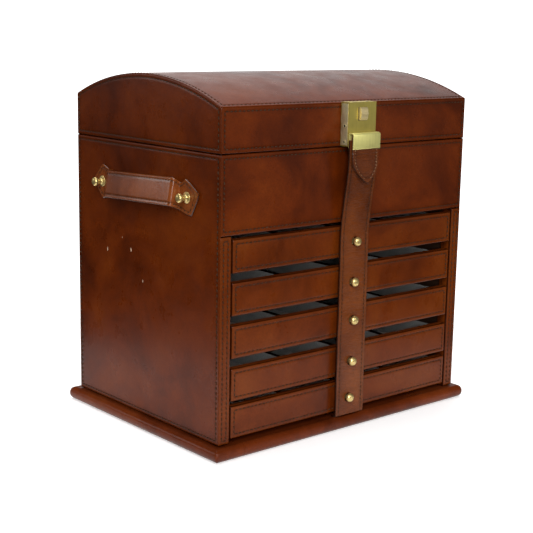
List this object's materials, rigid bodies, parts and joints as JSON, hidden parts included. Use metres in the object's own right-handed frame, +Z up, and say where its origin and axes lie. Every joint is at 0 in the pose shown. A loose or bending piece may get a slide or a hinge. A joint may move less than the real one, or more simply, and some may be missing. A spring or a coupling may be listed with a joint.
{
  "type": "jewellery case",
  "caption": "Leather-covered box with a barrel lid, sliding drawers locked by a strap over their knobs, a brass lock and a leather handle on each end.",
  "frame": {"origin": "centre of the case's footprint, on the surface it stands on", "axes": "+Z up; the drawers and the strap are at the front, which faces -Y; +X runs to the right as seen from the front"},
  "size_m": [0.3702, 0.2756, 0.3649],
  "materials": {
    "leather": "gloss",
    "strap_leather": "satin",
    "suede": "matte",
    "brass": "polished",
    "wood": "satin"
  },
  "bodies": {
    "case": {"back_panel": "leather", "base_board": "leather", "compartment_floor": "wood", "compartment_lining": "suede", "drawer_runner_left": "wood", "drawer_runner_right": "wood", "front_fascia": "leather", "handle_left_band": "leather", "handle_left_pad_back": "leather", "handle_left_pad_front": "leather", "handle_left_stud_back": "brass", "handle_left_stud_front": "brass", "handle_right_band": "leather", "handle_right_pad_back": "leather", "handle_right_pad_front": "leather", "handle_right_stud_back": "brass", "handle_right_stud_front": "brass", "hinge_leaf_case": "brass", "hinge_pin": "brass", "post_left": "leather", "post_right": "leather", "side_panel_left": "leather", "side_panel_right": "leather", "strap_foot": "leather"},
    "lid": {"lid_front": "leather", "lid_back": "leather", "lid_top": "leather", "lid_end_left": "leather", "lid_end_right": "leather", "lid_lining": "suede", "hinge_leaf_lid": "brass", "lock_case": "brass", "lock_screw_left": "brass", "lock_screw_right": "brass"},
    "button": {"lock_button": "brass"},
    "latch": {"lock_latch": "brass"},
    "strap_body": {"strap": "strap_leather", "strap_tab": "strap_leather", "strap_clip": "brass"},
    "drawer_1": {"drawer_1_front": "leather", "drawer_1_tray": "wood", "drawer_1_lining": "suede", "drawer_1_knob": "brass"},
    "drawer_2": {"drawer_2_front": "leather", "drawer_2_tray": "wood", "drawer_2_lining": "suede", "drawer_2_knob": "brass"},
    "drawer_3": {"drawer_3_front": "leather", "drawer_3_tray": "wood", "drawer_3_lining": "suede", "drawer_3_knob": "brass"},
    "drawer_4": {"drawer_4_front": "leather", "drawer_4_tray": "wood", "drawer_4_lining": "suede", "drawer_4_knob": "brass"},
    "drawer_5": {"drawer_5_front": "leather", "drawer_5_tray": "wood", "drawer_5_lining": "suede", "drawer_5_knob": "brass"}
  },
  "joints": [
    {"name": "lid_hinge", "type": "hinge", "parent": "case", "child": "lid", "pos_m": [0, 0.127, 0.29545], "axis": [-1, 0, 0], "range_deg": [0, 100]},
    {"name": "strap_peel", "type": "hinge", "parent": "case", "child": "strap_body", "pos_m": [0, -0.1291, 0.0165], "axis": [1, 0, 0], "range_deg": [0, 90], "deforming": ["strap"]},
    {"name": "lock_press", "type": "slide", "parent": "lid", "child": "button", "axis": [0, 1, 0], "range_m": [0, 0.0025], "stiffness_N_per_m": 400},
    {"name": "latch_lift", "type": "slide", "parent": "lid", "child": "latch", "axis": [0, 0, 1], "range_m": [0, 0.0025]},
    {"name": "drawer_1_slide", "type": "slide", "parent": "case", "child": "drawer_1", "axis": [0, -1, 0], "range_m": [0, 0.15]},
    {"name": "drawer_2_slide", "type": "slide", "parent": "case", "child": "drawer_2", "axis": [0, -1, 0], "range_m": [0, 0.15]},
    {"name": "drawer_3_slide", "type": "slide", "parent": "case", "child": "drawer_3", "axis": [0, -1, 0], "range_m": [0, 0.15]},
    {"name": "drawer_4_slide", "type": "slide", "parent": "case", "child": "drawer_4", "axis": [0, -1, 0], "range_m": [0, 0.15]},
    {"name": "drawer_5_slide", "type": "slide", "parent": "case", "child": "drawer_5", "axis": [0, -1, 0], "range_m": [0, 0.15]}
  ],
  "couplings": [
    {"joint": "latch_lift", "follows": "lock_press", "ratio": 1}
  ]
}
